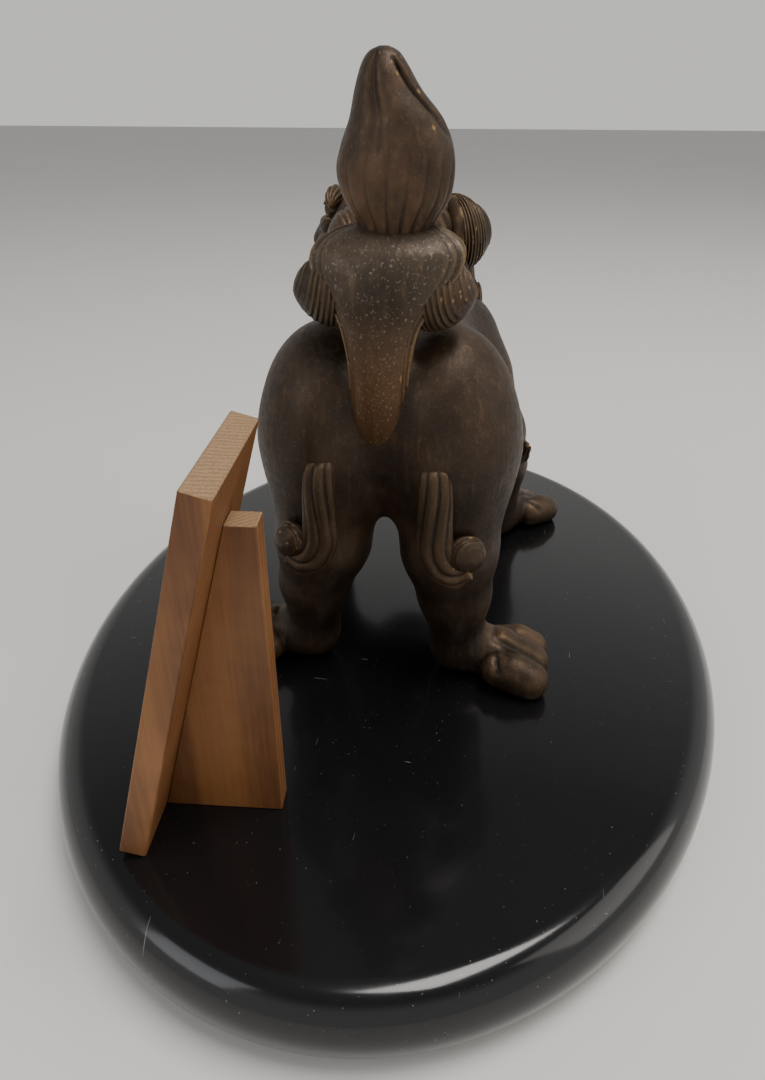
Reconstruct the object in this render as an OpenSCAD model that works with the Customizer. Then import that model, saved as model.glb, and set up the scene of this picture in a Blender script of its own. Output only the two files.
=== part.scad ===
// Foo dog statue: a cast bronze lion dog and a leaning wooden name plaque, both standing free on an
// oval lacquered board. Units mm, +Z up. Origin: centre of the board, z = 0 under the felt pads.
// The lion dog faces -X with its head turned towards -Y, which is the side the plaque faces.

/* [Board] */
// Length of the oval board along X
board_len = 386; // [250:1:450]
// Width of the oval board along Y
board_wid = 282; // [180:1:340]
// Thickness of the board
board_thk = 28; // [12:0.5:40]
// Radius of the rounded edge as seen from above
edge_inset = 12; // [4:0.5:16]
// Thickness of the felt pads
pad_thk = 2; // [1:0.5:5]
// Radius of a felt pad
pad_r = 9; // [5:0.5:15]

/* [Plaque] */
// Width of the plaque board along X
plaque_wid = 53; // [30:1:90]
// Length of the plaque board along its slope
plaque_len = 134; // [80:1:180]
// Thickness of the plaque board
plaque_thk = 8.7; // [5:0.1:15]
// Backwards lean of the plaque
plaque_lean = 15.6; // [5:0.1:30]
// Middle of the plaque along X
plaque_x = 126.5; // [60:0.5:140]
// Lower back edge of the plaque along Y
plaque_y = -61.4; // [-90:0.1:-30]
// Turn of the plaque as seen from above
plaque_turn = 5.6; // [-15:0.1:15]
// Height of the wedge behind the plaque
wedge_h = 110; // [60:1:125]
// Length of the wedge along the board
wedge_len = 40; // [20:0.5:60]
// Thickness of the wedge
wedge_thk = 9; // [5:0.1:15]

/* [Lion dog] */
// Middle line of the body along Y
body_y = 0.5; // [-10:0.5:10]
// Sideways shift of the chest and forelegs
fore_y = -4.5; // [-10:0.5:5]
// Bronze wall of the hollow body
wall = 4; // [2.5:0.1:8]
// Radius of the core hole under the belly
core_r = 11; // [5:0.5:18]
// Turn of the head towards the plaque side
head_turn = 45; // [0:1:70]
// Head centre along X
head_x = -82; // [-95:0.5:-70]
// Head centre along Y
head_y = -25; // [-40:0.5:0]
// Head centre height above the board
head_z = 150; // [130:0.5:165]
// Mane centre along X
mane_x = -58; // [-75:0.5:-45]
// Mane centre along Y
mane_y = -10; // [-18:0.5:5]
// Turn of the mane with the head
mane_turn = 35; // [0:1:60]

/* [Which part] */
// Name of the part to draw, or all

/* [Hidden] */
board_z = pad_thk;
top_z = pad_thk + board_thk;
ring_n = 20;
board_n = 80;
edge_step = 22.5;
steps = 3;
pad_x = board_len * 0.3;
pad_y = board_wid * 0.22;
toe_gap = 12;
paw_cut = 60;
hind_step = 2;

bronze = [0.26, 0.16, 0.10];
brass = [0.45, 0.32, 0.16];
lacquer = [0.04, 0.04, 0.045];
wood = [0.62, 0.36, 0.16];
felt = [0.12, 0.12, 0.12];

// A ring is its centre and two half-axis vectors, so a spline can blend all nine numbers.
function zring(x, y, z, a, b) = [x, y, z, a, 0, 0, 0, b, 0];
function xring(x, y, z, a, b) = [x, y, z, 0, a, 0, 0, 0, b];
function clampi(i, n) = max(0, min(n - 1, i));
function spline(p, q, r, s, t) = 0.5 * (2 * q + (r - p) * t
  + (2 * p - 5 * q + 4 * r - s) * t * t + (3 * q - p - 3 * r + s) * t * t * t);
function refine(R, m) = concat([for (i = [0 : len(R) - 2]) for (k = [0 : m - 1])
  spline(R[clampi(i - 1, len(R))], R[i], R[i + 1], R[clampi(i + 2, len(R))], k / m)],
  [R[len(R) - 1]]);
function ring_pt(g, t) = [g[0] + g[3] * cos(t) + g[6] * sin(t),
  g[1] + g[4] * cos(t) + g[7] * sin(t), g[2] + g[5] * cos(t) + g[8] * sin(t)];

// Closed skin through rings; the first half-axis crossed with the second points to the next ring.
module skin(R, n = ring_n, m = steps) {
  S = refine(R, m);
  k = len(S);
  pts = [for (g = S) for (j = [0 : n - 1]) ring_pt(g, 360 * j / n)];
  low = [[for (j = [0 : n - 1]) j]];
  high = [[for (j = [n - 1 : -1 : 0]) (k - 1) * n + j]];
  up = [for (i = [0 : k - 2]) for (j = [0 : n - 1]) [i * n + j, (i + 1) * n + j,
    (i + 1) * n + (j + 1) % n]];
  dn = [for (i = [0 : k - 2]) for (j = [0 : n - 1]) [i * n + j, (i + 1) * n + (j + 1) % n,
    i * n + (j + 1) % n]];
  polyhedron(points = pts, faces = concat(low, up, dn, high));
}

// Snail-shell curl: ridged cone turned about its axis, base at the origin, apex along +Z.
module curl(r, h, turns = 3) {
  n = 24;
  rim = [for (i = [0 : n]) let (t = i / n)
    [max(0.6, r * pow(1 - t, 0.62) * (0.93 + 0.07 * cos(360 * turns * t))), h * t]];
  rotate_extrude($fn = ring_n) polygon(concat([[0, 0]], rim, [[0, h]]));
}

// Paw with three toes, ankle at the origin, toes along +X, sole flat on z = 0.
module paw() {
  difference() {
    union() {
      hull() {
        translate([0, 0, 10]) sphere(r = 11, $fn = 18);
        translate([16, 0, 7]) sphere(r = 12.5, $fn = 18);
      }
      for (s = [-1 : 1]) hull() {
        translate([18, s * toe_gap * 0.9, 7]) sphere(r = 8, $fn = 16);
        translate([31, s * toe_gap, 4.5]) sphere(r = 6.5, $fn = 16);
      }
    }
    translate([-paw_cut / 2, -paw_cut / 2, -paw_cut]) cube([2 * paw_cut, paw_cut, paw_cut]);
  }
}

// Everything of the lion dog is placed from its own middle line on the board's top.
module on_board() { translate([0, body_y, top_z]) children(); }
module on_head() {
  on_board() translate([head_x, head_y, head_z]) rotate([0, 0, head_turn]) children();
}
module on_mane() { on_board() translate([mane_x, mane_y, 0]) rotate([0, 0, mane_turn]) children(); }
module on_plaque() { translate([plaque_x, plaque_y, top_z]) rotate([0, 0, plaque_turn]) children(); }

module board() {
  a = board_len / 2;
  b = board_wid / 2;
  c = board_z + board_thk / 2;
  h = board_thk / 2;
  rings = [for (t = [-90 : edge_step : 90]) zring(0, 0, c + h * sin(t), a - edge_inset * (1 - cos(t)),
    b - edge_inset * (1 - cos(t)))];
  color(lacquer) skin(rings, board_n, 1);
}

module felt_pads() {
  color(felt) for (x = [-pad_x, pad_x]) for (y = [-pad_y, pad_y])
    translate([x, y, 0]) cylinder(r = pad_r, h = pad_thk, $fn = 64);
}

module plaque_board() {
  color(wood) on_plaque() rotate([-plaque_lean, 0, 0])
    translate([-plaque_wid / 2, -plaque_thk, 0]) cube([plaque_wid, plaque_thk, plaque_len]);
}

module plaque_wedge() {
  run = wedge_h * tan(plaque_lean);
  color(wood) on_plaque() translate([-wedge_thk / 2, 0, 0]) rotate([90, 0, 90])
    linear_extrude(height = wedge_thk) polygon([[0, 0], [wedge_len, 0], [wedge_len, wedge_h],
    [run, wedge_h]]);
}

function body_rings(w) = [xring(-96 + w, fore_y, 100, 5, 6), xring(-91 + w, fore_y, 100, 25 - w, 27 - w),
  xring(-76, fore_y, 100, 36 - w, 38 - w), xring(-50, fore_y, 102, 39 - w, 38 - w),
  xring(-18, fore_y / 2, 103, 36 - w, 35 - w), xring(10, 0, 105, 42 - w, 37 - w),
  xring(34, 0, 106, 47 - w, 38 - w), xring(48, 0, 105, 42.5 - w, 34 - w),
  xring(58 - w, 0, 102, 28 - w, 23 - w), xring(63 - w, 0, 100, 6, 5)];

// Solid outer forms, which the neighbouring castings are cut by so that they seat on them.
module body_form() { skin(body_rings(0)); }
module mane_form() { skin(mane_rings(0)); }

module body_shell() {
  color(bronze) on_board() difference() {
    body_form();
    skin(body_rings(wall));
    translate([-18, 0, 50]) cylinder(r = core_r, h = 40, $fn = 64);
  }
}

module core_plug() {
  color(bronze) on_board() translate([-18, 0, 68.5]) cylinder(r = core_r, h = wall, $fn = 64);
}

module hind_limb() {
  skin([zring(39, 30, 0, 11, 10.5), zring(39, 30, 14, 11, 10.5), zring(40, 28, 26, 12, 12),
    zring(42, 26.5, 42, 14.5, 15.5), zring(42, 25, 58, 17, 18.5), zring(38, 24.5, 78, 20, 21),
    zring(34, 24, 98, 21, 20), zring(32, 23, 110, 16, 14), zring(31, 22, 116, 7, 6)]);
}

module hind_leg() {
  hind_limb();
  translate([39, 30, 0]) rotate([0, 0, 88]) paw();
}

// The left hind leg stands slightly wider than a mirror image of the right one.
module to_hind_left() { translate([0, -hind_step, 0]) mirror([0, 1, 0]) children(); }

module hind_leg_right() {
  color(bronze) on_board() difference() {
    hind_leg();
    body_form();
  }
}

module hind_leg_left() {
  color(bronze) on_board() difference() {
    to_hind_left() hind_leg();
    body_form();
  }
}

module foreleg_limb() {
  skin([zring(-80, 46, 0, 11, 10.5), zring(-80, 46, 14, 11, 10.5), zring(-78, 46, 30, 11.5, 11),
    zring(-71, 46, 46, 13.5, 12.5), zring(-64, 44, 62, 18, 15), zring(-60, 39, 80, 22, 17),
    zring(-59, 32, 98, 20, 14), zring(-60, 26, 108, 8, 6)]);
}

module foreleg() {
  foreleg_limb();
  translate([-80, 46, 0]) rotate([0, 0, 150]) paw();
}

// The forelegs mirror each other about the chest's own middle line.
module to_fore_right() { translate([0, fore_y, 0]) children(); }
module to_fore_left() { translate([0, fore_y, 0]) mirror([0, 1, 0]) children(); }

module foreleg_right() {
  color(bronze) on_board() difference() {
    to_fore_right() foreleg();
    body_form();
  }
}

module foreleg_left() {
  color(bronze) on_board() difference() {
    to_fore_left() foreleg();
    body_form();
  }
}

module hock_tuft() {
  skin([zring(61, 33, 52, 2.5, 3), zring(63, 32, 57, 6, 7), zring(63, 27, 65, 6.5, 8),
    zring(62, 23, 76, 6.5, 6.5), zring(63, 20.5, 88, 5.5, 6), zring(63, 20, 98, 2, 3)]);
}

module hock_tuft_right() {
  color(brass) on_board() difference() {
    hock_tuft();
    hind_limb();
    body_form();
  }
}

module hock_tuft_left() {
  color(brass) on_board() difference() {
    mirror([0, 1, 0]) hock_tuft();
    to_hind_left() hind_limb();
    body_form();
  }
}

module elbow_tuft() {
  hull() {
    translate([-60, 52, 56]) sphere(r = 7.5, $fn = 16);
    translate([-42, 57, 66]) sphere(r = 2.5, $fn = 16);
  }
}

module seated_elbow_tuft() {
  difference() {
    elbow_tuft();
    foreleg_limb();
  }
}

module elbow_tuft_right() { color(brass) on_board() to_fore_right() seated_elbow_tuft(); }
module elbow_tuft_left() { color(brass) on_board() to_fore_left() seated_elbow_tuft(); }

module tail_band_form() {
  skin([zring(48, -1, 92, 6, 8), zring(53, -1, 106, 8, 10.5), zring(55.5, -0.5, 122, 8.5, 11),
    zring(56, 0, 138, 8, 11), zring(55.5, 0.5, 149, 8.5, 14.5), zring(52.5, 1.5, 160, 10.5, 22),
    zring(49.5, 2, 169, 11, 24), zring(46.5, 2, 175, 5, 15)]);
}

module tail_band() {
  color(bronze) on_board() difference() {
    tail_band_form();
    body_form();
    hind_limb();
    to_hind_left() hind_limb();
  }
}

module tail_curl() { translate([48, 12, 155]) rotate([-90, 0, 0]) curl(13, 18); }
module tail_curl_right() { color(brass) on_board() tail_curl(); }
module tail_curl_left() { color(brass) on_board() mirror([0, 1, 0]) tail_curl(); }

module tail_plume() {
  color(bronze) on_board() difference() {
    skin([zring(46, 3.5, 168, 8, 10), zring(46, 3.5, 175.5, 9, 12), zring(46, 3.5, 183.5, 12, 16.6),
      zring(46, 3.2, 191, 13, 18), zring(46, 3.5, 198, 12.5, 16.5), zring(46, 3.2, 205, 11, 13.8),
      zring(46, 0.8, 212, 9, 9.8), zring(46, -0.3, 218.5, 6, 6.4), zring(46, -0.5, 222.5, 2, 2)]);
    tail_band_form();
  }
}

function mane_rings(w) = [zring(-4, 0, 92 + w, 20 - w, 30 - w), zring(-4, 0, 108, 28 - w, 37 - w),
  zring(-2, 0, 128, 30 - w, 37 - w), zring(0, 0, 148, 27 - w, 33 - w),
  zring(0, 0, 166 - w, 20 - w, 25 - w), zring(-1, 0, 178 - w, 10 - w, 13 - w),
  zring(-1, 0, 182 - w, 2, 3)];

// The mane is a hollow collar, open where it seats on the body.
module mane() {
  color(bronze) difference() {
    on_mane() mane_form();
    on_mane() skin(mane_rings(wall));
    on_board() body_form();
    on_board() to_fore_right() foreleg_limb();
    on_board() to_fore_left() foreleg_limb();
  }
}

module mane_curl() { translate([9, 20, 158]) rotate([-90, 0, 0]) curl(16.5, 22); }
module mane_curl_right() { color(brass) on_mane() mane_curl(); }
module mane_curl_left() { color(brass) on_mane() mirror([0, 1, 0]) mane_curl(); }

module chest_ruff() {
  color(bronze) difference() {
    on_board() translate([0, fore_y, 0]) skin([zring(-88, 0, 68, 4, 8), zring(-91, 0, 78, 11, 20),
      zring(-92, 0, 96, 14, 29), zring(-90, 0, 114, 13, 30), zring(-86, 0, 124, 5, 16)]);
    on_board() body_form();
    on_mane() mane_form();
  }
}

module head_form() {
  skin([xring(-37, 0, 0, 5, 4), xring(-34, 0, 0, 14, 10), xring(-25, 0, 2, 17, 12.5),
    xring(-14, 0, 4, 20, 17), xring(-2, 0, 4, 25, 24), xring(12, 0, 4, 25, 24),
    xring(22, 0, 4, 16, 15), xring(26, 0, 4, 4, 4)]);
}

module head() {
  color(bronze) difference() {
    on_head() head_form();
    on_mane() mane_form();
    on_board() body_form();
  }
}

module lower_jaw() {
  color(bronze) difference() {
    on_head() skin([xring(-32, 0, -20, 5, 2), xring(-29, 0, -20.5, 11, 4),
      xring(-20, 0, -21, 14.5, 5), xring(-8, 0, -20.5, 16, 6.5), xring(3, 0, -17, 14, 7),
      xring(8, 0, -14, 6, 4)]);
    on_head() head_form();
    on_mane() mane_form();
    on_board() body_form();
  }
}

module tongue() {
  color(brass) on_head() skin([xring(-30, 0, -15.6, 4, 1), xring(-26, 0, -15.8, 6.5, 1.6),
    xring(-20, 0, -16, 7.5, 1.8), xring(-15, 0, -16, 5, 1.2)]);
}

module fangs() {
  color(brass) on_head() for (s = [-1, 1]) translate([-27, s * 11, -15])
    cylinder(r1 = 0.8, r2 = 3, h = 10, $fn = 32);
}

module nose() {
  color(bronze) on_head() hull() for (s = [-1, 1]) translate([-34, s * 5, 6])
    sphere(r = 5, $fn = 16);
}

module eye() { translate([-20, 10.5, 13]) sphere(r = 5.5, $fn = 32); }
module eye_right() { color(brass) on_head() eye(); }
module eye_left() { color(brass) on_head() mirror([0, 1, 0]) eye(); }

module brow() {
  hull() {
    translate([-20, 5, 19]) sphere(r = 4, $fn = 16);
    translate([-11, 17, 20]) sphere(r = 5, $fn = 16);
  }
}

module brow_right() { color(bronze) on_head() brow(); }
module brow_left() { color(bronze) on_head() mirror([0, 1, 0]) brow(); }

module ear() {
  hull() {
    translate([1, 22, 13]) sphere(r = 6.5, $fn = 16);
    translate([9, 33, 7]) sphere(r = 2.5, $fn = 16);
  }
}

module ear_right() { color(bronze) on_head() ear(); }
module ear_left() { color(bronze) on_head() mirror([0, 1, 0]) ear(); }

module cheek_curl() { translate([-10, 20, -9]) rotate([-90, 0, 0]) curl(9, 13, 2); }
module cheek_curl_right() { color(brass) on_head() cheek_curl(); }
module cheek_curl_left() { color(brass) on_head() mirror([0, 1, 0]) cheek_curl(); }

module beard() {
  color(bronze) on_head() for (s = [-1 : 1]) hull() {
    translate([-14, s * 8, -25]) sphere(r = 5.5, $fn = 16);
    translate([-19, s * 10, -37]) sphere(r = 2.2, $fn = 16);
  }
}

board();
felt_pads();
plaque_board();
plaque_wedge();
body_shell();
core_plug();
hind_leg_left();
hind_leg_right();
foreleg_left();
foreleg_right();
hock_tuft_left();
hock_tuft_right();
elbow_tuft_left();
elbow_tuft_right();
tail_band();
tail_curl_left();
tail_curl_right();
tail_plume();
mane();
mane_curl_left();
mane_curl_right();
chest_ruff();
head();
lower_jaw();
tongue();
fangs();
nose();
eye_left();
eye_right();
brow_left();
brow_right();
ear_left();
ear_right();
cheek_curl_left();
cheek_curl_right();
beard();
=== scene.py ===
import math
import bpy
import numpy as np
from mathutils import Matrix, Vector


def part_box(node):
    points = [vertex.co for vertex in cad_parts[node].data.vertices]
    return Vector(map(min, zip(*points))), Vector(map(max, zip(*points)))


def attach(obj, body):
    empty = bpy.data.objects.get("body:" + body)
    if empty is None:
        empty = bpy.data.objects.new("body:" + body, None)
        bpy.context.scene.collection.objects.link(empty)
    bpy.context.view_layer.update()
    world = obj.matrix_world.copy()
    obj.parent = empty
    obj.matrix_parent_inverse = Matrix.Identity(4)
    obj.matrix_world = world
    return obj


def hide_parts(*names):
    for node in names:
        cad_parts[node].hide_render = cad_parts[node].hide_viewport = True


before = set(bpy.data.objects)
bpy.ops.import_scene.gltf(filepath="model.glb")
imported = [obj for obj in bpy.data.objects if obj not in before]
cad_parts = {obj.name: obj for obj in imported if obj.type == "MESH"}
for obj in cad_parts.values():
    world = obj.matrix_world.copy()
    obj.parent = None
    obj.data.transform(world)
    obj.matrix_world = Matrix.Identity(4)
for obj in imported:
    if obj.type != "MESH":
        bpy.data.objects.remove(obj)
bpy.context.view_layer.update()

MM = 0.001
SIDES = ("left", "right")       # the right is +Y

# Places on the board in mm, and turns about Z.
TOP_Z = 30.0                    # the board's top
BODY_Y = 0.5                    # the lion dog's middle line
FORE_Y = -4.5                   # chest and forelegs sit this far towards the plaque side
HIND_LEFT_STEP = -2             # the left hind leg stands this far out
HEAD = (-82.0, -25.0, 150.0)
HEAD_TURN = math.radians(45)
MANE = (-58.0, -10.0, 0.0)
MANE_TURN = math.radians(35)
PLAQUE = (126.5, -61.4, TOP_Z)
PLAQUE_TURN = math.radians(5.6)
PLAQUE_LEAN = math.radians(15.6)

# ---------------------------------------------------------------- places (mm to frame metres)


def on_board(p):
    return (np.asarray(p, float) + (0, BODY_Y, TOP_Z)) * MM


def turn(p, angle):
    p = np.asarray(p, float)
    c, s = math.cos(angle), math.sin(angle)
    return np.stack([c * p[:, 0] - s * p[:, 1], s * p[:, 0] + c * p[:, 1], p[:, 2]], -1)


def on_fore(p):
    return on_board(p + (0, FORE_Y, 0))


def on_head(p):
    return on_board(turn(p, HEAD_TURN) + HEAD)


def on_mane(p):
    return on_board(turn(p, MANE_TURN) + MANE)


def on_plaque(p):
    return (turn(p, PLAQUE_TURN) + PLAQUE) * MM


# ---------------------------------------------------------------- pieces


def add_mesh(name, pts, faces, body, mat, replaces, smooth=True):
    me = bpy.data.meshes.new(name)
    me.from_pydata([tuple(p) for p in pts], [], [tuple(int(i) for i in f) for f in faces])
    me.validate()
    me.update()
    if smooth:
        me.shade_smooth()
    else:
        me.shade_flat()
    ob = bpy.data.objects.new(name, me)
    bpy.context.scene.collection.objects.link(ob)
    me.materials.append(mat)
    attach(ob, body)
    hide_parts(*replaces)
    return ob


def mirror(part):
    p, f = part
    return np.asarray(p, float) * (1, -1, 1), [tuple(q)[::-1] for q in f]


def add_sided(side, stem, part, place, mat, node):
    """Add one of a pair. The part is made for the right and mirrored for the left."""
    pts, faces = mirror(part) if side == "left" else part
    add_mesh(stem + side, place(pts), faces, "lion_dog", mat, [node + side])


def recolour(node, mat):
    """Give a material to a CAD node that no piece replaces."""
    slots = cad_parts[node].data.materials
    slots.clear()
    slots.append(mat)


# ---------------------------------------------------------------- soft shapes on a grid

FAR = 1e3       # longer than any part, mm
TINY = 1e-6     # keeps divisions clear of zero


class Field:
    """Signed distances in mm on a box of points, built up from soft shapes."""

    def __init__(self, lo, hi, step):
        self.lo, self.step = np.array(lo, float), step
        count = [int(math.ceil((b - a) / step)) + 1 for a, b in zip(lo, hi)]
        axes = [(lo[i] + step * np.arange(count[i])).astype(np.float32) for i in range(3)]
        self.P = np.meshgrid(*axes, indexing="ij", sparse=True)
        self.d = np.full(count, FAR, np.float32)

    def ball(self, c, r):
        """Distance to a ball, or about that to an ellipsoid when r is three radii."""
        q = [self.P[i] - c[i] for i in range(3)]
        r = (r, r, r) if np.isscalar(r) else r
        k0 = np.sqrt(sum((q[i] / r[i]) ** 2 for i in range(3)))
        k1 = np.sqrt(sum((q[i] / (r[i] * r[i])) ** 2 for i in range(3))) + TINY
        return k0 * (k0 - 1) / k1

    def rod(self, a, b, ra, rb):
        """Distance to a round-ended rod from a to b, whose radius goes from ra to rb."""
        a, b = np.array(a, float), np.array(b, float)
        ba = b - a
        q = [self.P[i] - a[i] for i in range(3)]
        t = np.clip(sum(q[i] * ba[i] for i in range(3)) / float(ba @ ba), 0, 1)
        dist = np.sqrt(sum((q[i] - ba[i] * t) ** 2 for i in range(3)))
        return dist - (ra + (rb - ra) * t)

    def add(self, shape, blend):
        h = np.maximum(blend - np.abs(self.d - shape), 0) / blend
        self.d = np.minimum(self.d, shape) - h * h * blend * 0.25

    def cut(self, shape, blend):
        h = np.maximum(blend - np.abs(self.d + shape), 0) / blend
        self.d = np.maximum(self.d, -shape) + h * h * blend * 0.25

    def cell_points(self, inside):
        """The mean crossing point of each cell the surface goes through, and each cell's number."""
        cells = tuple(n - 1 for n in self.d.shape)
        count = np.zeros(cells, np.int16)
        total = np.zeros((*cells, 3), np.float32)
        for axis in range(3):
            near_end = tuple(slice(0, -1) if i == axis else slice(None) for i in range(3))
            far_end = tuple(slice(1, None) if i == axis else slice(None) for i in range(3))
            a, b = self.d[near_end], self.d[far_end]
            cross = inside[near_end] != inside[far_end]
            t = np.where(cross, a / np.where(a == b, 1, a - b), 0).astype(np.float32)
            u, v = [i for i in range(3) if i != axis]
            for du, dv in ((0, 0), (0, 1), (1, 0), (1, 1)):
                pick = [slice(None)] * 3
                pick[u] = slice(du, cross.shape[u] - 1 + du)
                pick[v] = slice(dv, cross.shape[v] - 1 + dv)
                c = cross[tuple(pick)]
                count += c
                total[..., axis] += np.where(c, t[tuple(pick)], 0)
                total[..., u] += c * np.float32(du)
                total[..., v] += c * np.float32(dv)
        live = count > 0
        number = np.full(cells, -1, np.int64)
        number[live] = np.arange(live.sum())
        corner = np.argwhere(live).astype(np.float32)
        return self.lo + self.step * (corner + total[live] / count[live][:, None]), number

    def crossing_quads(self, inside, number):
        """One quad round each grid edge that the surface crosses, facing out."""
        faces = []
        unit = np.eye(3, dtype=int)
        for axis in range(3):
            u, v = (axis + 1) % 3, (axis + 2) % 3
            near_end, far_end = [slice(1, -1)] * 3, [slice(1, -1)] * 3
            near_end[axis], far_end[axis] = slice(0, -1), slice(1, None)
            starts_in = inside[tuple(near_end)]
            edges = np.argwhere(starts_in != inside[tuple(far_end)])
            base = edges + unit[u] + unit[v]
            corners = (base - unit[u] - unit[v], base - unit[v], base, base - unit[u])
            quads = np.stack([number[tuple(c.T)] for c in corners], -1)
            wrong_way = ~starts_in[tuple(edges.T)]
            quads[wrong_way] = quads[wrong_way][:, ::-1]
            faces.append(quads)
        return np.concatenate(faces)

    def mesh(self):
        """Surface nets: one point per cell the surface crosses, one quad per edge it crosses."""
        inside = self.d < 0
        pts, number = self.cell_points(inside)
        return pts, self.crossing_quads(inside, number)


def relax(pts, quads, rounds, keep):
    """Even out the net a little, each point keeping a share of its place."""
    e = np.concatenate([quads[:, [0, 1]], quads[:, [1, 2]], quads[:, [2, 3]], quads[:, [3, 0]]])
    e = np.concatenate([e, e[:, ::-1]])
    n = np.bincount(e[:, 0], minlength=len(pts))[:, None]
    for _ in range(rounds):
        s = np.stack([np.bincount(e[:, 0], pts[e[:, 1], i], len(pts)) for i in range(3)], -1)
        pts = pts * keep + s / n * (1 - keep)
    return pts


def soft_part(F, rounds=1, keep=0.6):
    """A field's surface, evened out."""
    p, q = F.mesh()
    return relax(p, q, rounds, keep), q


# ---------------------------------------------------------------- skins, ribbons and curls

CARVE_LIMIT = 0.6         # no groove is deeper than this share of the radius
CURL_BACK = 0.35          # depth of a curl's rounded back, as a share of its radius
CURL_BACK_ROWS = 10


def spline(rings, steps):
    """Catmull-Rom curve through the rings, with the same number of steps in each span."""
    R = np.array(rings, float)
    out = []
    last = len(R) - 1
    for i in range(last):
        p, q, r, s = R[max(i - 1, 0)], R[i], R[i + 1], R[min(i + 2, last)]
        for t in np.arange(steps) / steps:
            out.append(0.5 * (2 * q + (r - p) * t + (2 * p - 5 * q + 4 * r - s) * t * t
                              + (3 * q - p - 3 * r + s) * t ** 3))
    out.append(R[-1])
    return np.array(out)


def zring(x, y, z, a, b):
    """Level ring: its centre, then half-widths along X and Y."""
    return (x, y, z, a, 0, 0, 0, b, 0)


def xring(x, y, z, a, b):
    """Upright ring across X: its centre, then half-widths along Y and Z."""
    return (x, y, z, 0, a, 0, 0, 0, b)


def tube_faces(rows, n):
    """Faces of rows of n points, closed by the two end points that come after them."""
    i, j = np.meshgrid(np.arange(rows - 1), np.arange(n), indexing="ij")
    i, j = i.ravel(), j.ravel()
    j2 = (j + 1) % n
    quads = np.stack([i * n + j, i * n + j2, (i + 1) * n + j2, (i + 1) * n + j], -1)
    first, last, top = rows * n, rows * n + 1, (rows - 1) * n
    return ([tuple(q) for q in quads] + [(first, (q + 1) % n, q) for q in range(n)]
            + [(last, top + q, top + (q + 1) % n) for q in range(n)])


def skin(rings, n, steps, carve=None):
    """Points and faces of a skin through rings. carve(u, angle) gives how far in, in mm."""
    S = spline(rings, steps)
    k = len(S)
    th = np.linspace(0, 2 * np.pi, n, endpoint=False)
    c = S[:, None, 0:3]
    rad = S[:, None, 3:6] * np.cos(th)[None, :, None] + S[:, None, 6:9] * np.sin(th)[None, :, None]
    if carve is not None:
        u = np.repeat(np.linspace(0, 1, k)[:, None], n, 1)
        size = np.linalg.norm(rad, axis=2) + TINY
        depth = np.minimum(carve(u, np.repeat(th[None], k, 0)), size * CARVE_LIMIT)
        rad = rad * (1 - depth / size)[..., None]
    pts = (c + rad).reshape(-1, 3)
    return np.concatenate([pts, S[:1, :3], S[-1:, :3]]), tube_faces(k, n)


def ribbon(path, out, half, n, steps, carve):
    """Skin along a path that lies on a surface facing +X; out and half are its two half-widths."""
    P = np.array(path, float)
    T = np.gradient(P, axis=0)
    T /= np.linalg.norm(T, axis=1, keepdims=True)
    side = np.cross(T, (1.0, 0.0, 0.0))
    side /= np.linalg.norm(side, axis=1, keepdims=True)
    rings = [(*P[i], out[i], 0, 0, *(side[i] * half[i])) for i in range(len(P))]
    return skin(rings, n, steps, carve)


def shell_curl(r, h, turns, fine, n, rows, deep):
    """Snail-shell curl along +Z: a coil of one rib, with fine strands cut along it."""
    bulge, taper, tip = 2.3, 0.62, 0.5      # how long it stays wide, how it closes, its end in mm
    crowding = 0.85                         # under 1, the turns lie closer at the base
    hair_deep, hair_patches = 0.05, 7
    t = np.linspace(0, 1, rows)[:, None]
    th = np.linspace(0, 2 * np.pi, n, endpoint=False)[None]
    rad = r * np.power(np.clip(1 - np.power(t, bulge), 0, 1), taper) + tip
    ph = turns * np.power(t, crowding) - th / (2 * np.pi)
    rib = 1 - np.abs(np.sin(np.pi * ph)) ** 0.7
    hair = 0.5 - 0.5 * np.cos(2 * np.pi * fine * ph)
    R = rad * (1 - deep * rib - hair_deep * hair * (0.4 + 0.6 * np.sin(hair_patches * ph) ** 2))
    z = h * t + 0 * th
    back = np.radians(np.linspace(8, 82, CURL_BACK_ROWS))[:, None]
    R = np.concatenate([np.sin(back) * R[:1], R])
    z = np.concatenate([-CURL_BACK * r * np.cos(back) + 0 * th, z])
    pts = np.stack([R * np.cos(th), R * np.sin(th), z], -1).reshape(-1, 3)
    pts = np.concatenate([pts, [[0, 0, -CURL_BACK * r], [0, 0, h + 0.3]]])
    return pts, tube_faces(rows + CURL_BACK_ROWS, n)


def aim(part, at, to):
    """Turn a part's +Z to a direction and move it."""
    p, f = part
    R = np.array(Vector((0, 0, 1)).rotation_difference(Vector(to).normalized()).to_matrix())
    return p @ R.T + np.array(at, float), f


def join(parts):
    P, F, o = [], [], 0
    for p, f in parts:
        P.append(np.asarray(p, float))
        F += [tuple(int(v) + o for v in q) for q in f]
        o += len(p)
    return np.concatenate(P), F


def strands(count, deep, twist=0.0, wave=0.0, sharp=0.6, lo=0.05, hi=0.97):
    """Grooves that run along a skin, count of them round it, fading out at lo and hi."""
    fade_over = 0.08

    def carve(u, th):
        ph = count * (th / (2 * np.pi)) + twist * u + wave * np.sin(2 * np.pi * u * 1.3)
        v = np.abs(np.sin(np.pi * ph)) ** sharp
        return deep * (1 - v) * np.clip((u - lo) / fade_over, 0, 1) * np.clip((hi - u) / fade_over, 0, 1)
    return carve


def near(th, at, wide):
    """1 at an angle, falling to 0 on both sides of it."""
    return np.exp(-(np.angle(np.exp(1j * (th - at))) / wide) ** 2)


# ---------------------------------------------------------------- material nodes


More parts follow.
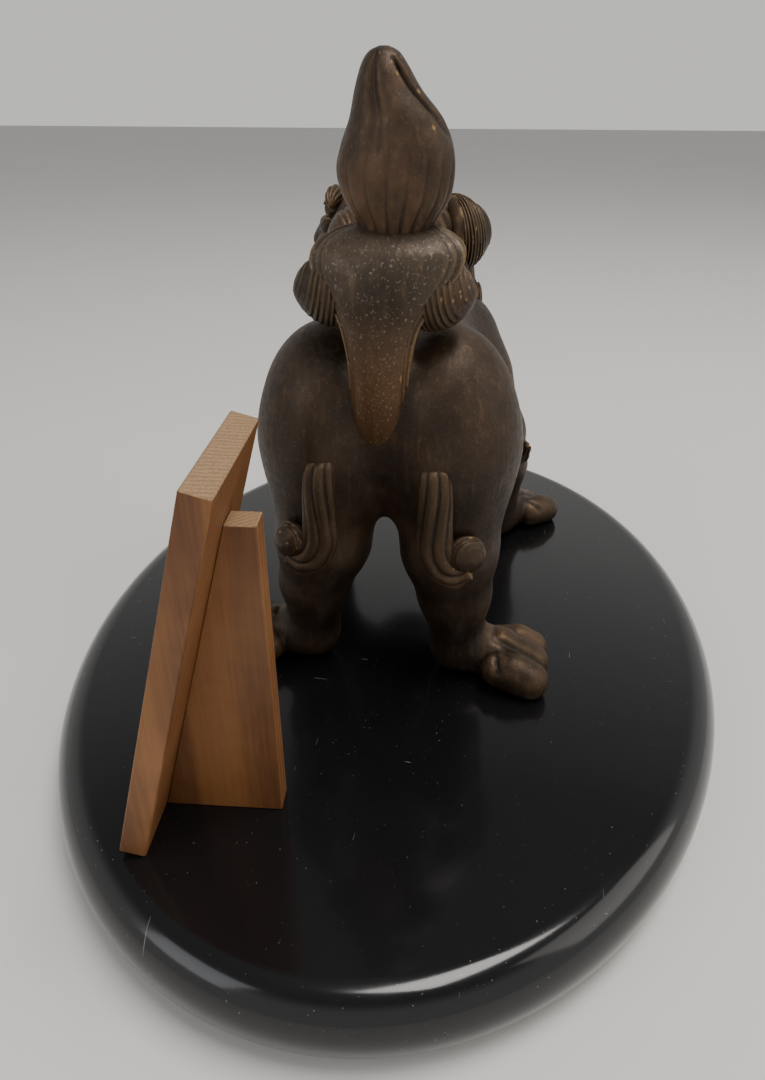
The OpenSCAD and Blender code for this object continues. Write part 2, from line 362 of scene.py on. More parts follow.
def new_mat(name, rough, metal=0.0):
    m = bpy.data.materials.new(name)
    m.use_nodes = True
    nt = m.node_tree
    b = nt.nodes["Principled BSDF"]
    b.inputs["Roughness"].default_value = rough
    b.inputs["Metallic"].default_value = metal
    co = nt.nodes.new("ShaderNodeTexCoord")
    return m, nt, b, co.outputs["Object"]


def stretched(nt, co, scale):
    mp = nt.nodes.new("ShaderNodeMapping")
    mp.inputs["Scale"].default_value = scale
    nt.links.new(co, mp.inputs["Vector"])
    return mp.outputs["Vector"]


def noise(nt, co, scale, detail=4.0, rough=0.6):
    n = nt.nodes.new("ShaderNodeTexNoise")
    n.inputs["Scale"].default_value = scale
    n.inputs["Detail"].default_value = detail
    n.inputs["Roughness"].default_value = rough
    nt.links.new(co, n.inputs["Vector"])
    return n.outputs["Fac"]


def bands(nt, co, direction, scale, distortion):
    w = nt.nodes.new("ShaderNodeTexWave")
    w.wave_type = "BANDS"
    w.bands_direction = direction
    w.inputs["Scale"].default_value = scale
    w.inputs["Distortion"].default_value = distortion
    nt.links.new(co, w.inputs["Vector"])
    return w


def ramp(nt, fac, stops):
    r = nt.nodes.new("ShaderNodeValToRGB")
    el = r.color_ramp.elements
    while len(el) < len(stops):
        el.new(0.5)
    for e, (pos, col) in zip(el, stops):
        e.position = pos
        e.color = (*col, 1)
    nt.links.new(fac, r.inputs["Fac"])
    return r.outputs["Color"]


def mix(nt, fac, a, b, kind="MIX"):
    m = nt.nodes.new("ShaderNodeMix")
    m.data_type = "RGBA"
    m.blend_type = kind
    for src, i in ((fac, 0), (a, 6), (b, 7)):
        if isinstance(src, bpy.types.NodeSocket):
            nt.links.new(src, m.inputs[i])
        elif i == 0:
            m.inputs[0].default_value = src
        else:
            m.inputs[i].default_value = (*src, 1)
    return m.outputs[2]


def times(nt, fac, k, plus=None):
    """fac * k, or with plus, fac * k + plus held between 0 and 1."""
    n = nt.nodes.new("ShaderNodeMath")
    n.operation = "MULTIPLY" if plus is None else "MULTIPLY_ADD"
    nt.links.new(fac, n.inputs[0])
    n.inputs[1].default_value = k
    if plus is not None:
        nt.links.new(plus, n.inputs[2])
        n.use_clamp = True
    return n.outputs[0]


def bump(nt, b, height, dist, strength, after=None):
    n = nt.nodes.new("ShaderNodeBump")
    n.inputs["Distance"].default_value = dist
    n.inputs["Strength"].default_value = strength
    nt.links.new(height, n.inputs["Height"])
    if after is not None:
        nt.links.new(after, n.inputs["Normal"])
    nt.links.new(n.outputs["Normal"], b.inputs["Normal"])
    return n.outputs["Normal"]


def grey(v):
    return (v, v, v)


# ---------------------------------------------------------------- materials

WARM_STALK = (0.100, 0.048, 0.019)
PALE_DUST = (0.30, 0.27, 0.20)
# near-black that darkens the bronze in its hollows
HOLLOW_DARK = (0.01, 0.006, 0.004)
FLAT_POINT = 0.5          # Pointiness of a flat surface


def warm_below(nt, co, col, low, high):
    """Warm brown under height low, col over height high, in metres."""
    sep = nt.nodes.new("ShaderNodeSeparateXYZ")
    nt.links.new(co, sep.inputs["Vector"])
    span = nt.nodes.new("ShaderNodeMapRange")
    span.inputs["From Min"].default_value = low
    span.inputs["From Max"].default_value = high
    nt.links.new(sep.outputs["Z"], span.inputs["Value"])
    return mix(nt, span.outputs["Result"], WARM_STALK, col)


def bronze(name, base, worn, wear, dust, red=0.0, warm=None):
    """Dark patina, brassy where edges rub, darker in hollows, with dust specks and upright fur marks."""
    m, nt, b, co = new_mat(name, 0.5, 0.55)
    geo = nt.nodes.new("ShaderNodeNewGeometry")
    point = geo.outputs["Pointiness"]
    big = noise(nt, co, 26, 5, 0.62)
    fine = noise(nt, co, 420, 5, 0.7)
    fur = noise(nt, stretched(nt, co, (1.0, 1.0, 0.22)), 420, 3, 0.6)
    dark = tuple(c * 0.42 for c in base)
    light = tuple(min(1, c * 1.9 + red * k) for c, k in zip(base, (1, .42, .12)))
    col = ramp(nt, big, [(0.36, dark), (0.52, base), (0.66, light)])
    if warm:
        col = warm_below(nt, co, col, *warm)
    edge = ramp(nt, point, [(FLAT_POINT, grey(0)), (FLAT_POINT + 0.06 / wear, grey(1))])
    rub = ramp(nt, fur, [(0.54, grey(0)), (0.76, grey(0.8))])
    col = mix(nt, times(nt, edge, 0.8, times(nt, rub, 0.30 * wear)), col, worn)
    speck = ramp(nt, noise(nt, co, 1100, 2, 0.5), [(0.60, grey(0)), (0.72, grey(1))])
    col = mix(nt, times(nt, speck, dust), col, PALE_DUST)
    # darker in the hollows: where the surface curves in, the colour is mixed half way towards near-black
    hollow = ramp(nt, point, [(0.42, grey(1)), (FLAT_POINT, grey(0))])
    col = mix(nt, hollow, col, mix(nt, 0.5, col, HOLLOW_DARK))
    nt.links.new(col, b.inputs["Base Color"])
    r = ramp(nt, fine, [(0.3, grey(0.40)), (0.7, grey(0.60))])
    nt.links.new(r, b.inputs["Roughness"])
    marks = bump(nt, b, fur, 0.0006, 0.35)
    bump(nt, b, fine, 0.00025, 0.35, marks)
    return m


def lacquer():
    """Black gloss with dust specks, hair scratches both ways and smeared polish."""
    m, nt, b, co = new_mat("black_lacquer", 0.13)
    b.inputs["Coat Weight"].default_value = 0.25
    b.inputs["Coat Roughness"].default_value = 0.08
    b.inputs["IOR"].default_value = 1.45
    speck = ramp(nt, noise(nt, co, 1300, 1, 0.4), [(0.775, grey(0)), (0.80, grey(1))])
    along_x = noise(nt, stretched(nt, co, (1.0, 22.0, 1.0)), 60, 2, 0.5)
    along_y = noise(nt, stretched(nt, co, (18.0, 1.2, 1.0)), 55, 2, 0.5)
    hairs = mix(nt, 1.0, ramp(nt, along_x, [(0.785, grey(0)), (0.80, grey(0.7))]),
                ramp(nt, along_y, [(0.79, grey(0)), (0.805, grey(0.7))]), "LIGHTEN")
    col = mix(nt, mix(nt, 1.0, speck, hairs, "LIGHTEN"), (0.006, 0.006, 0.007), (0.22, 0.22, 0.21))
    nt.links.new(col, b.inputs["Base Color"])
    smear = noise(nt, co, 14, 5, 0.6)
    nt.links.new(ramp(nt, smear, [(0.3, grey(0.10)), (0.75, grey(0.22))]), b.inputs["Roughness"])
    bump(nt, b, noise(nt, co, 120, 2), 0.00005, 0.2)
    return m


def long_grain():
    """Straight-grained softwood, with the grain along Z."""
    m, nt, b, co = new_mat("wood_long_grain", 0.55)
    grain = stretched(nt, co, (1.0, 1.0, 0.035))
    w = bands(nt, grain, "X", 95, 2.2)
    w.inputs["Detail"].default_value = 3.0
    w.inputs["Detail Scale"].default_value = 1.2
    early, late = (0.25, 0.098, 0.026), (0.105, 0.034, 0.008)
    col = ramp(nt, w.outputs["Fac"], [(0.15, early), (0.8, late)])
    fibre = noise(nt, grain, 900, 4, 0.7)
    col = mix(nt, 0.25, col, ramp(nt, fibre, [(0.3, (0.09, 0.033, 0.009)), (0.7, (0.33, 0.145, 0.043))]))
    blot = noise(nt, co, 30, 3)
    col = mix(nt, ramp(nt, blot, [(0.45, grey(0)), (0.8, grey(0.35))]), col, (0.40, 0.19, 0.07))
    nt.links.new(col, b.inputs["Base Color"])
    bump(nt, b, fibre, 0.0002, 0.4)
    return m


def end_grain():
    m, nt, b, co = new_mat("wood_end_grain", 0.7)
    w = bands(nt, co, "DIAGONAL", 260, 2.5)
    col = ramp(nt, w.outputs["Fac"], [(0.1, (0.36, 0.22, 0.11)), (0.9, (0.24, 0.135, 0.06))])
    pores = noise(nt, co, 1500, 3, 0.7)
    col = mix(nt, 0.4, col, ramp(nt, pores, [(0.35, (0.17, 0.10, 0.05)), (0.65, (0.46, 0.31, 0.18))]))
    nt.links.new(col, b.inputs["Base Color"])
    bump(nt, b, pores, 0.0002, 0.5)
    return m


def felt():
    m, nt, b, co = new_mat("grey_felt", 0.95)
    f = noise(nt, co, 1400, 4, 0.8)
    nt.links.new(ramp(nt, f, [(0.3, grey(0.02)), (0.7, grey(0.09))]), b.inputs["Base Color"])
    bump(nt, b, f, 0.0004, 0.8)
    return m


BRONZE = bronze("bronze_patina", (0.042, 0.025, 0.015), (0.27, 0.16, 0.066), 0.62, 0.10, 0.022)
BRONZE_BAND = bronze("bronze_dusty", (0.060, 0.043, 0.031), (0.30, 0.19, 0.085), 0.75, 0.50,
                     warm=(0.158, 0.186))
BRONZE_WORN = bronze("bronze_worn", (0.044, 0.026, 0.015), (0.27, 0.165, 0.072), 0.7, 0.10)
LACQUER, FELT, END = lacquer(), felt(), end_grain()
WOOD = long_grain()

# ---------------------------------------------------------------- board and pads


def oval_board():
    """Oval disc with a half-round edge, from the CAD board's box."""
    edge_inset, edge_rows, n = 12 * MM, 33, 256
    shares = [0.999, 0.97, 0.8, 0.4]        # rings inside the edge, as shares of its width
    lo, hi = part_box("board")
    a, b = (hi[0] - lo[0]) / 2, (hi[1] - lo[1]) / 2
    c, h = (hi[2] + lo[2]) / 2, (hi[2] - lo[2]) / 2
    th = np.linspace(0, 2 * np.pi, n, endpoint=False)
    edge = []
    for t in np.radians(np.linspace(-90, 90, edge_rows)):
        k = edge_inset * (1 - math.cos(t))
        edge.append(np.stack([(a - k) * np.cos(th), (b - k) * np.sin(th),
                              np.full(n, c + h * math.sin(t))], -1))
    under = [edge[0] * (s, s, 1) for s in reversed(shares)]
    over = [edge[-1] * (s, s, 1) for s in shares]
    rows = under + edge + over
    pts = np.concatenate(rows + [[[0, 0, rows[0][0, 2]]], [[0, 0, rows[-1][0, 2]]]])
    add_mesh("oval_board", pts, tube_faces(len(rows), n), "base", LACQUER, ["board"])


oval_board()
recolour("felt_pads", FELT)

# ---------------------------------------------------------------- plaque


def bevelled(name, corners, faces, node, width):
    """A board with rubbed edges and its upper end in end grain."""
    ob = add_mesh(name, np.array(corners), faces, "plaque", WOOD, [node], smooth=False)
    ob.data.materials.append(END)
    for p in ob.data.polygons:
        if p.normal.z > 0.8:
            p.material_index = 1
    bv = ob.modifiers.new("edge", "BEVEL")
    bv.width = width
    bv.segments = 3
    bv.limit_method = "ANGLE"
    bv.harden_normals = True


def plaque_panel():
    thick, wide, tall = 8.7, 53.0, 134.0
    up = np.array([0, math.sin(PLAQUE_LEAN), math.cos(PLAQUE_LEAN)])
    out = np.array([0, -math.cos(PLAQUE_LEAN), math.sin(PLAQUE_LEAN)])
    pts = [np.array([x, 0, 0]) + up * z + out * o
           for z in (0, tall) for x in (-wide / 2, wide / 2) for o in (0, thick)]
    f = [(0, 2, 3, 1), (4, 5, 7, 6), (0, 1, 5, 4), (2, 6, 7, 3), (0, 4, 6, 2), (1, 3, 7, 5)]
    bevelled("plaque_panel", on_plaque(pts), f, "plaque_board", 0.7 * MM)


def plaque_foot():
    half, deep, high = 4.5, 40.0, 110.0
    outline = [(0, 0), (deep, 0), (deep, high), (high * math.tan(PLAQUE_LEAN), high)]
    pts = [(x, y, z) for x in (-half, half) for y, z in outline]
    f = [(3, 2, 1, 0), (4, 5, 6, 7), (0, 1, 5, 4), (1, 2, 6, 5), (2, 3, 7, 6), (3, 0, 4, 7)]
    bevelled("plaque_foot", on_plaque(pts), f, "plaque_wedge", 0.5 * MM)


plaque_panel()
plaque_foot()

# ---------------------------------------------------------------- body, legs and paws


def paw(F, at, heading, side, blend):
    """Foot with three round toes fanned out and carved creases between them."""
    c, s = math.cos(heading), math.sin(heading)

    def w(x, y, z):
        y = y * side
        return (at[0] + c * x - s * y, at[1] + s * x + c * y, z)

    toes = ((-12.6, 7.9), (0.4, 7.6), (12.0, 6.6))      # place across the foot, and radius
    creases = (-6.6, 6.4)
    fold = ((17, -17, 12), (14, -7, 19.5), (14, 7, 19.5), (17, 16, 12))     # groove behind the toes
    F.add(F.rod(w(-1, 0, 10), w(16, 0, 9.5), 10.5, 10.5), blend)
    for y, r in toes:
        F.add(F.rod(w(17, y * 0.80, 8.5), w(29.5, y, r - 1.6), r * 0.98, r), 0.7)
        F.add(F.ball(w(24, y * 0.92, 10.2), (r * 0.80, r * 0.80, r * 0.72)), 3.0)
    for y in creases:
        F.cut(F.rod(w(15, y * 0.8, 19), w(37, y * 1.05, 9), 1.1, 1.5), 1.6)
    for a, b in zip(fold, fold[1:]):
        F.cut(F.rod(w(*a), w(*b), 0.8, 0.8), 1.3)


def hind_leg(F, s):
    step = 0 if s > 0 else HIND_LEFT_STEP
    hip, knee = (35, s * 24, 96), (42, s * 25, 58)
    hock, ankle = (41, s * 27.5 + step, 38), (39, s * 29.5 + step, 14)
    F.add(F.rod(hip, knee, 22, 18), 12)
    F.add(F.rod(knee, hock, 18, 14), 5)
    F.add(F.rod(hock, ankle, 14, 10.2), 5)
    paw(F, (39, s * 31 + step), s * math.radians(88), s, 6)


def foreleg(F, s):
    y = FORE_Y
    shoulder, elbow = (-58, y + s * 31, 92), (-61, y + s * 41, 66)
    wrist, ankle = (-69, y + s * 46, 46), (-79, y + s * 46, 14)
    F.add(F.ball((-60, y + s * 25, 94), (24, 18, 34)), 10)
    F.add(F.rod(shoulder, elbow, 17, 14.5), 10)
    F.add(F.rod(elbow, wrist, 14.5, 12), 6)
    F.add(F.rod(wrist, ankle, 12, 10), 6)
    paw(F, (-80, y + s * 46), s * math.radians(150), s, 6)


def body():
    spine_z, spine_rear = 138.4, 34
    F = Field((-118, -86, -3), (72, 82, 150), 1.0)
    F.add(F.ball((36, -20.5, 105), (28, 27, 38)), 0.1)              # rump, left half
    F.add(F.ball((36, 20, 105), (28, 27, 38)), 12)                  # rump, right half
    F.add(F.ball((-12, FORE_Y / 2, 104), (54, 34, 36.5)), 18)       # belly
    F.add(F.ball((-58, FORE_Y, 103), (37, 37, 39)), 16)             # chest
    for s in (-1, 1):
        hind_leg(F, s)
        foreleg(F, s)
    F.cut(F.rod((68, -3, 124), (69, -3, 62), 8.5, 8.5), 12)         # valley of the rump
    F.add(F.rod((46, -1, 100), (54.5, 0, 134), 8, 9.0), 7)          # root of the tail
    for x in range(-44, spine_rear, 10):
        F.add(F.ball((x, FORE_Y * (spine_rear - x) / 90, spine_z), (5.5, 4.2, 3.2)), 3)
    F.d = np.maximum(F.d, -F.P[2])                                  # flat soles
    p, q = soft_part(F, 2, 0.5)
    p[:, 2] = np.maximum(p[:, 2], 0)
    nodes = ["body_shell"] + [a + b for a in ("hind_leg_", "foreleg_") for b in SIDES]
    add_mesh("lion_body", on_board(p), q, "lion_dog", BRONZE, nodes)


body()
recolour("core_plug", BRONZE)

# ---------------------------------------------------------------- tufts


def hock_curl(side):
    path = [(59.5, 20, 102), (62.5, 20.3, 99), (63.5, 20.5, 90), (63, 20.8, 78), (62.5, 21.6, 69),
            (62.5, 24.5, 62), (63, 29.5, 59.5), (63, 34, 61.5)]
    out = [1.5, 3.6, 4.4, 4.6, 5.2, 5.6, 4.6, 2.5]
    half = [3.5, 5.4, 6.2, 6.4, 7.0, 6.8, 5.5, 3]
    lock = ribbon(path, out, half, 90, 16, strands(7, 1.15, 0.3, 0.35))
    knob = aim(shell_curl(7.0, 6.0, 1.5, 3, 72, 60, 0.10), (61, 32, 67.5), (0.86, 0.42, 0.05))
    add_sided(side, "hock_curl_", join([lock, knob]), on_board, BRONZE, "hock_tuft_")


def elbow_curl(side):
    rings = [xring(-69, 49, 51, 2, 3), xring(-65, 51, 54, 7.5, 8), xring(-57, 53, 58, 7, 7.5),
             xring(-49, 55, 62.5, 4.8, 5.2), xring(-42, 57, 67, 2.4, 2.4), xring(-39.6, 57.5, 68.5, 1, 1)]
    part = skin(rings, 60, 10, strands(8, 1.2, 0.4))
    add_sided(side, "elbow_curl_", part, on_fore, BRONZE_WORN, "elbow_tuft_")


for side in SIDES:
    hock_curl(side)
    elbow_curl(side)

# ---------------------------------------------------------------- tail


def tail_band():
    """Stalk that widens upwards into a cape, hollowed along the middle, with lines at its edges."""
    rings = [zring(44, -1, 92, 5, 7), zring(48, -1, 100, 7, 9.5), zring(51.5, -0.8, 110, 8, 10.5),
             zring(54.6, -0.5, 122, 8.2, 10.8), zring(56.2, 0, 134, 8, 11),
             zring(56.5, 0, 143, 7.5, 12.2), zring(56, 0.3, 150, 8, 15), zring(54.5, 0.8, 157, 9.5, 20),
             zring(52, 1.3, 164, 11, 24.5), zring(49.5, 1.8, 169.5, 11, 24.5),
             zring(47, 2, 173.5, 8.5, 20), zring(46, 2.5, 176, 4, 12), zring(46, 2.5, 176.6, 1, 4)]
    line_count, rim_at, rim_wide = 26, 0.965, 0.018

    def carve(u, th):
        side = np.abs(np.sin(th))
        lens = 1 - np.abs(np.cos(th)) ** 0.45
        rim = np.exp(-((side - rim_at) / rim_wide) ** 2) * np.clip((u - 0.2) / 0.2, 0, 1)
        ph = line_count * th / (2 * np.pi)
        lines = (1 - np.abs(np.sin(np.pi * ph)) ** 0.6) * np.clip((side - 0.72) / 0.2, 0, 1)
        return (2.2 * lens * side - 1.1 * rim + 0.9 * lines) * np.clip((0.98 - u) / 0.1, 0, 1)
    p, f = skin(rings, 220, 16, carve)
    add_mesh("tail_band_cape", on_board(p), f, "lion_dog", BRONZE_BAND, ["tail_band"])


def tail_snail(side):
    part = aim(shell_curl(12.8, 18.5, 1.2, 9, 140, 130, 0.10), (47, 11.5, 156.2), (0.12, 1, -0.06))
    add_sided(side, "tail_snail_", part, on_board, BRONZE_WORN, "tail_curl_")


def tail_flame():
    """Plume with locks round its foot, a groove up one side and a slanting fold near the top."""
    rings = [zring(46, 3.5, 167, 7, 8.5), zring(46, 3.5, 171, 8, 9.8), zring(46, 3.5, 176, 9.5, 12.2),
             zring(46, 3.5, 183.5, 12.2, 16.6), zring(46, 3.2, 191, 13, 18.1),
             zring(46, 3.5, 198, 12.6, 16.8), zring(46, 3.2, 205, 11.2, 13.8),
             zring(46, 0.9, 212, 9.2, 9.9), zring(46, -0.2, 218.2, 6.8, 6.8),
             zring(46, -0.4, 221.4, 4.2, 4.4), zring(46, -0.4, 222.8, 1.2, 1.4)]
    lock_count, lock_deep, groove_deep, fold_deep = 17, 1.15, 1.2, 2.0

    def carve(u, th):
        ph = lock_count * th / (2 * np.pi) + 0.35 * np.sin(5 * u + 1.4 * np.cos(th)) + 0.5 * u
        locks = (1 - np.abs(np.sin(np.pi * ph)) ** 0.6) * np.clip((0.50 - u) / 0.28, 0, 1)
        groove = near(th, -0.32, 0.16) * np.clip((u - 0.35) / 0.15, 0, 1) * np.clip((0.93 - u) / 0.2, 0, 1)
        fold = near(th, 0.75 + 2.2 * (0.80 - u), 0.13) * np.clip((u - 0.52) / 0.1, 0, 1)
        fold = fold * np.clip((0.86 - u) / 0.08, 0, 1)
        return lock_deep * locks + groove_deep * groove + fold_deep * fold
    p, f = skin(rings, 240, 18, carve)
    add_mesh("tail_flame", on_board(p), f, "lion_dog", BRONZE, ["tail_plume"])


tail_band()
for side in SIDES:
    tail_snail(side)
tail_flame()

# ---------------------------------------------------------------- mane and chest

# Rows of small curls: height, radii along X and Y, count, stagger, and degrees covered each way.
LOCK_ROWS = ((106, 26, 35, 9, 0.0, 180), (128, 28, 35, 8, 0.5, 180), (147, 25, 30, 7, 0.0, 70))
LOCK_START, LOCK_SPAN = -112, 224       # degrees about the mane's +X, which faces the tail


def mane_locks():
    rings = [zring(-4, 0, 91, 16, 26), zring(-4, 0, 98, 24, 33), zring(-4, 0, 110, 28.5, 37),
             zring(-2, 0, 128, 30, 37), zring(0, 0, 148, 27.5, 33), zring(0, 0, 165, 21, 26),
             zring(-1, 0, 176, 12.5, 15.5), zring(-1, 0, 181, 4, 5)]
    parts = [skin(rings, 240, 18, strands(26, 2.2, 0.3, 0.45, 0.55, 0.0, 1.0))]
    rng = np.random.default_rng(7)
    for z, rx, ry, count, stagger, cover in LOCK_ROWS:
        for i in range(count):
            t = math.radians(LOCK_START + LOCK_SPAN * (i + stagger) / (count - 1))
            at = (-2 + rx * math.cos(t), ry * math.sin(t), z + rng.uniform(-2, 2))
            if abs(math.degrees(t)) <= cover:
                curl = shell_curl(8.6, 5.0, 1.8, 3, 64, 44, 0.14)
                parts.append(aim(curl, at, (math.cos(t), math.sin(t), -0.1)))
    p, f = join(parts)
    add_mesh("mane_locks", on_mane(p), f, "lion_dog", BRONZE, ["mane"])


def mane_snail(side):
    part = aim(shell_curl(16.2, 19.5, 1.3, 9, 150, 140, 0.10), (9, 19, 157), (0.10, 1, -0.05))
    add_sided(side, "mane_snail_", part, on_mane, BRONZE_WORN, "mane_curl_")


def chest_locks():
    rings = [zring(-88, 0, 67, 2, 4), zring(-90, 0, 73, 8, 14), zring(-92, 0, 84, 13, 24),
             zring(-92, 0, 98, 14.5, 29.5), zring(-90, 0, 114, 13, 30), zring(-86, 0, 124, 5, 16)]
    p, f = skin(rings, 180, 16, strands(17, 1.9, 0.0, 0.5, 0.55, 0.0, 1.0))
    add_mesh("chest_locks", on_fore(p), f, "lion_dog", BRONZE, ["chest_ruff"])


mane_locks()
for side in SIDES:
    mane_snail(side)
chest_locks()

# ---------------------------------------------------------------- head (its face looks along its own -X)


def head_mask():
    F = Field((-42, -32, -20), (30, 32, 34), 0.7)
    F.add(F.ball((6, 0, 4), (22, 25, 24)), 0.1)                 # skull
    F.add(F.ball((-16, 0, 2), (18, 18, 13)), 8)                 # muzzle
    F.add(F.ball((-26, 0, 1), (11, 15, 9.5)), 5)
    for s in (-1, 1):
        F.add(F.ball((-30, s * 8, -2), (7, 8, 6.5)), 2.5)       # upper lip
        F.add(F.ball((-8, s * 19, -3), (11, 8, 9)), 3.5)        # cheek
        F.cut(F.ball((-21, s * 10.5, 13.5), (6.2, 7.2, 5.6)), 1.6)      # eye socket
        F.add(F.rod((-26, s * 6, 8), (-16, s * 16, 9), 2.0, 2.4), 1.5)  # lower lid
        for k in range(3):                                      # cheek lines
            F.cut(F.rod((-24 + 3 * k, s * (14.5 + k), 7 - 2.5 * k), (-12 + 2 * k, s * 20, 3 - 3 * k),
                        0.8, 0.9), 1.0)
    F.add(F.rod((-22, 0, 12), (-8, 0, 22), 4, 5), 4)            # bridge of the nose
    F.cut(F.rod((-38, 0, -15), (-8, 0, -14), 8, 9), 2)          # mouth
    p, q = soft_part(F)
    add_mesh("head_mask", on_head(p), q, "lion_dog", BRONZE, ["head"])


def jaw_lower():
    F = Field((-36, -20, -30), (12, 20, -6), 0.6)
    F.add(F.ball((-20, 0, -21), (13.5, 13, 5.5)), 0.1)
    for s in (-1, 1):
        F.add(F.rod((-14, s * 9, -20), (5, s * 11, -15), 5, 5.5), 5)
    F.add(F.ball((-29, 0, -21), (5, 8, 4)), 3)
    F.cut(F.ball((-15, 0, -15), (12, 9.5, 3.6)), 1.5)
    p, q = soft_part(F)
    add_mesh("jaw_lower", on_head(p), q, "lion_dog", BRONZE, ["lower_jaw"])


def tongue_tip():
    rings = [xring(-31, 0, -15.4, 1.5, 0.6), xring(-29.5, 0, -15.6, 5, 1.3), xring(-25, 0, -15.9, 7, 1.7),
             xring(-19, 0, -16, 7.6, 1.8), xring(-12, 0, -16.5, 7, 2), xring(-8, 0, -16.5, 3, 1)]
    p, f = skin(rings, 48, 8, lambda u, th: 0.9 * near(th, np.pi / 2, 0.22))
    add_mesh("tongue_tip", on_head(p), f, "lion_dog", BRONZE_WORN, ["tongue"])


def teeth_upper():
    """A fang and three small teeth on each side."""
    small_step, small_back = 3.1, 0.8
    teeth = []
    for s in (-1, 1):
        teeth.append(skin([zring(-27.6, s * 10.6, -15, 0.5, 0.5), zring(-27, s * 11, -12, 1.9, 1.8),
                           zring(-27, s * 11, -8, 2.8, 2.6), zring(-27, s * 11, -5, 2.8, 2.6)], 28, 6))
        for k in range(3):
            x, y = -31 + small_back * k, s * (1.7 + small_step * k)
            teeth.append(skin([zring(x, y, -11.5, 0.8, 0.9), zring(x, y, -9.5, 1.5, 1.5),
                               zring(x, y, -5, 1.5, 1.5)], 20, 4))
    p, f = join(teeth)
    add_mesh("teeth_upper", on_head(p), f, "lion_dog", BRONZE_WORN, ["fangs"])


def nose_pad():
    F = Field((-42, -13, -2), (-26, 13, 14), 0.5)
    F.add(F.ball((-35, 0, 7), (4.4, 5, 4.6)), 0.1)
    for s in (-1, 1):
        F.add(F.ball((-34, s * 5.8, 5), (4, 4.2, 3.6)), 1.5)
        F.cut(F.ball((-38.4, s * 4.6, 3.4), (2.2, 1.8, 1.5)), 0.6)      # nostril
    p, q = soft_part(F)
    add_mesh("nose_pad", on_head(p), q, "lion_dog", BRONZE, ["nose"])


def eye():
    """Eyeball under a slanted lid, with a drilled pupil."""
    at, ball_r, lid_r = (-20, 10.5, 13), 5.0, 5.9
    F = Field((-29, 3, 5), (-12, 19, 21), 0.4)
    F.add(F.ball(at, ball_r), 0.1)
    lid_edge = 3.0 - (F.P[2] - at[2]) + 0.35 * (F.P[0] - at[0])
    F.add(np.maximum(F.ball(at, lid_r), lid_edge), 0.3)
    F.cut(F.ball((-25.2, 9.8, 12.6), 1.5), 0.4)
    return soft_part(F)


def brow():
    rings = [xring(-26, 4.5, 17, 1.4, 1.4), xring(-23, 6, 18.5, 3.8, 3.2),
             xring(-18, 10, 19.5, 5, 3.8), xring(-13, 14.5, 20, 5.4, 4.4),
             xring(-9, 18, 18.5, 4.4, 4), xring(-6.5, 20.5, 16.5, 1.8, 1.8)]
    return skin(rings, 64, 12, strands(9, 1.2, 0.8, 0.2))


def ear():
    rings = [zring(2, 19, 3, 3, 4), zring(2, 23, 6, 5.5, 6.5), zring(4, 27, 8.5, 6, 6),
             zring(7, 30.5, 11, 4.4, 4), zring(9.5, 33, 13.5, 1, 1)]
    return skin(rings, 48, 10, lambda u, th: 2.6 * near(th, 3.0, 0.6) * np.sin(np.pi * u))


def cheek_curl():
    return aim(shell_curl(9.3, 12, 1.5, 6, 80, 70, 0.12), (-10, 19, -9), (-0.1, 1, 0))


def face():
    kinds = (("eye", eye(), BRONZE_WORN, "bronze_worn"), ("brow", brow(), BRONZE, "bronze"),
             ("ear", ear(), BRONZE, "bronze"), ("cheek_curl", cheek_curl(), BRONZE_WORN, "bronze_worn"))
    for side in reversed(SIDES):
        for kind, part, mat, slot_name in kinds:
            add_sided(side, kind + "_cast_", part, on_head, mat, kind + "_")


def beard_locks():
    locks = [skin([zring(-20, s * 10.5, -38.5, 0.8, 0.8), zring(-19, s * 10, -36, 2.4, 2.6),
                   zring(-17, s * 9, -31, 4.2, 4.4), zring(-15, s * 8, -25, 5.2, 5.2),
                   zring(-13, s * 7, -20, 4, 4)], 48, 8, strands(7, 0.9, 0.5)) for s in (-1, 0, 1)]
    p, f = join(locks)
    add_mesh("beard_locks", on_head(p), f, "lion_dog", BRONZE, ["beard"])


head_mask()
jaw_lower()
tongue_tip()
teeth_upper()
nose_pad()
face()
beard_locks()

# ---------------------------------------------------------------- floor, light, camera

FLOOR_HALF = 6.0                        # metres
CAMERA_AT = (0.3026, 0.0431, 0.212 + TOP_Z * MM)
CAMERA_YAW, CAMERA_PITCH = math.radians(9.6), math.radians(30.0)
FOCAL, FRAME_TALL = 780.0, 1080         # focal length and frame height, in the same pixels


def floor():
    m, nt, b, co = new_mat("pale_floor", 0.8)
    nt.links.new(ramp(nt, noise(nt, co, 3, 2), [(0, (0.76, 0.75, 0.73)), (1, (0.80, 0.79, 0.77))]),
                 b.inputs["Base Color"])
    me = bpy.data.meshes.new("floor")
    s = FLOOR_HALF
    me.from_pydata([(-s, -s, 0), (s, -s, 0), (s, s, 0), (-s, s, 0)], [], [(0, 1, 2, 3)])
    me.materials.append(m)
    ob = bpy.data.objects.new("floor", me)
    bpy.context.scene.collection.objects.link(ob)


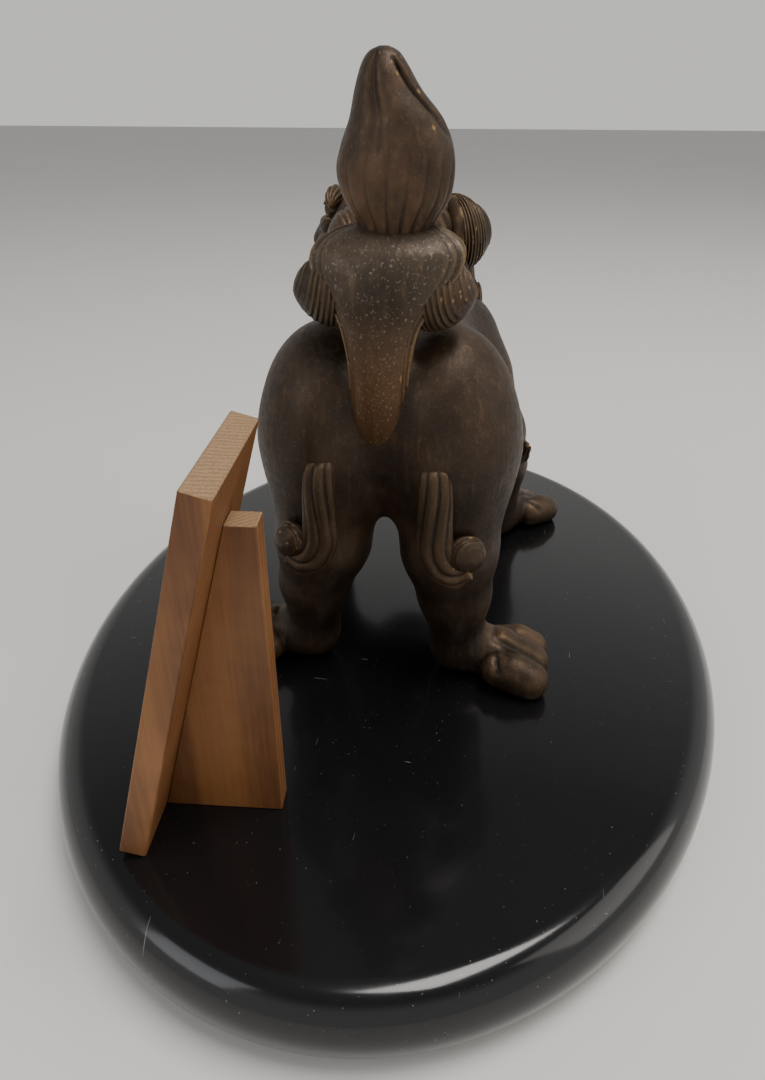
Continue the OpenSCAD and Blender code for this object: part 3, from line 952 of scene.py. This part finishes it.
def room():
    """Pale to the horizon and grey overhead."""
    w = bpy.data.worlds.new("soft_room")
    w.use_nodes = True
    wt = w.node_tree
    back = wt.nodes["Background"]
    co = wt.nodes.new("ShaderNodeTexCoord")
    sep = wt.nodes.new("ShaderNodeSeparateXYZ")
    wt.links.new(co.outputs["Generated"], sep.inputs["Vector"])
    sky = ramp(wt, sep.outputs["Z"], [(0.0, (0.80, 0.79, 0.77)), (0.50, (0.78, 0.77, 0.75)),
                                      (0.74, (0.20, 0.20, 0.20)), (1.0, (0.26, 0.26, 0.26))])
    wt.links.new(sky, back.inputs["Color"])
    back.inputs["Strength"].default_value = 0.85
    bpy.context.scene.world = w


def lamp(name, at, to, size, power, col):
    li = bpy.data.lights.new(name, "AREA")
    li.shape = "RECTANGLE"
    li.size, li.size_y = size
    li.energy = power
    li.color = col
    o = bpy.data.objects.new(name, li)
    o.location = at
    o.rotation_euler = (Vector(to) - Vector(at)).to_track_quat("-Z", "Y").to_euler()
    bpy.context.scene.collection.objects.link(o)


def camera():
    level = math.cos(CAMERA_PITCH)
    fwd = Vector((-level * math.cos(CAMERA_YAW), -level * math.sin(CAMERA_YAW), -math.sin(CAMERA_PITCH)))
    cam = bpy.data.cameras.new("camera")
    cam.sensor_fit = "VERTICAL"
    cam.sensor_height = 24.0
    cam.lens = FOCAL * cam.sensor_height / FRAME_TALL
    cam.clip_start = 0.01
    o = bpy.data.objects.new("camera", cam)
    o.location = CAMERA_AT
    o.rotation_euler = fwd.to_track_quat("-Z", "Y").to_euler()
    bpy.context.scene.collection.objects.link(o)
    bpy.context.scene.camera = o


floor()
room()
lamp("key", (0.1, 0.35, 1.5), (0, 0, 0.1), (0.9, 0.5), 16, (1.0, 0.97, 0.93))
lamp("side", (0.1, 1.3, 0.9), (0, 0, 0.12), (1.0, 1.0), 5, (1.0, 0.95, 0.88))
lamp("fill", (1.0, -1.0, 0.9), (0, 0, 0.1), (0.8, 0.8), 4, (0.95, 0.97, 1.0))
camera()
